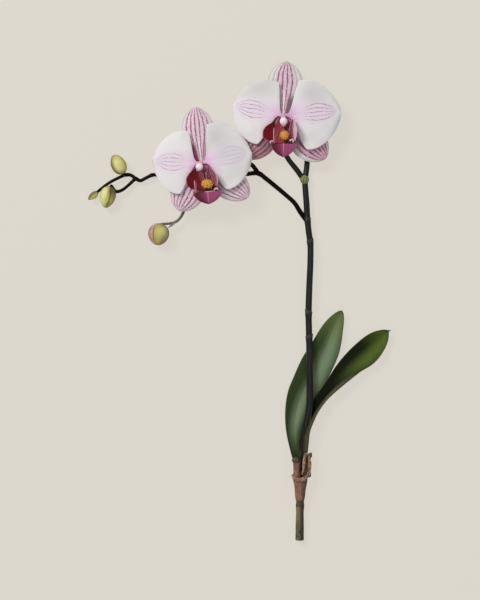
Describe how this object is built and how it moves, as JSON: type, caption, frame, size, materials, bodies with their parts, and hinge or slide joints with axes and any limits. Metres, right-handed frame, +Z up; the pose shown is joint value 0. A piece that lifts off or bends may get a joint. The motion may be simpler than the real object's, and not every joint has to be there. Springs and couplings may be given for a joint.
{
  "type": "moth orchid stem",
  "caption": "Cut moth orchid lying on its back: cane with dry sheath, two leaves, and a dark branching spike with open pink-veined flowers and buds.",
  "frame": {"origin": "on the surface the stem lies on, under the middle of its bounding box", "axes": "+Z up from the surface, the way the flowers face; +Y along the stem from the cut end to the flowers; +X towards the side the right leaf leans to"},
  "size_m": [0.275, 0.4336, 0.0409],
  "materials": {
    "cane": "dull olive-brown bark with mottling",
    "dry_sheath": "dry, fibrous and matt",
    "left_leaf": "waxy satin green, lighter along the midrib",
    "right_leaf": "waxy satin green, darker towards the fold",
    "leaf_collar": "satin green",
    "stem": "smooth near-black with a soft sheen",
    "bract": "dry and dark",
    "node_bud": "satin green",
    "bud": "satin yellow-green with a pink flush",
    "petal": "soft white with fine pink veins",
    "sepal": "soft pink with magenta stripes and dots",
    "column": "waxy pale pink",
    "lip": "waxy magenta and maroon with a yellow callus"
  },
  "bodies": {
    "root": {"bud_lower": "bud", "bud_lower_stalk": "stem", "bud_opening": "bud", "bud_opening_stalk": "stem", "bud_tip": "bud", "bud_upper": "bud", "bud_upper_stalk": "stem", "cane": "cane", "dried_scale_lower": "bract", "dried_scale_upper": "bract", "flower_a_anther_cap": "column", "flower_a_column": "column", "flower_a_dorsal_sepal": "sepal", "flower_a_left_petal": "petal", "flower_a_left_sepal": "sepal", "flower_a_lip": "lip", "flower_a_pedicel": "stem", "flower_a_right_petal": "petal", "flower_a_right_sepal": "sepal", "flower_b_anther_cap": "column", "flower_b_column": "column", "flower_b_dorsal_sepal": "sepal", "flower_b_left_petal": "petal", "flower_b_left_sepal": "sepal", "flower_b_lip": "lip", "flower_b_pedicel": "stem", "flower_b_right_petal": "petal", "flower_b_right_sepal": "sepal", "flower_spike": "stem", "fork_bract": "bract", "left_leaf": "left_leaf", "left_leaf_collar": "leaf_collar", "left_leaf_stub": "dry_sheath", "lower_sheath": "dry_sheath", "node_bud": "node_bud", "right_leaf": "right_leaf", "right_leaf_strap": "dry_sheath", "sheath_rim": "dry_sheath", "side_branch": "stem", "spike_bract_high": "bract", "spike_bract_low": "bract", "spike_bract_middle": "bract", "stalk_bract": "bract"}
  },
  "joints": []
}
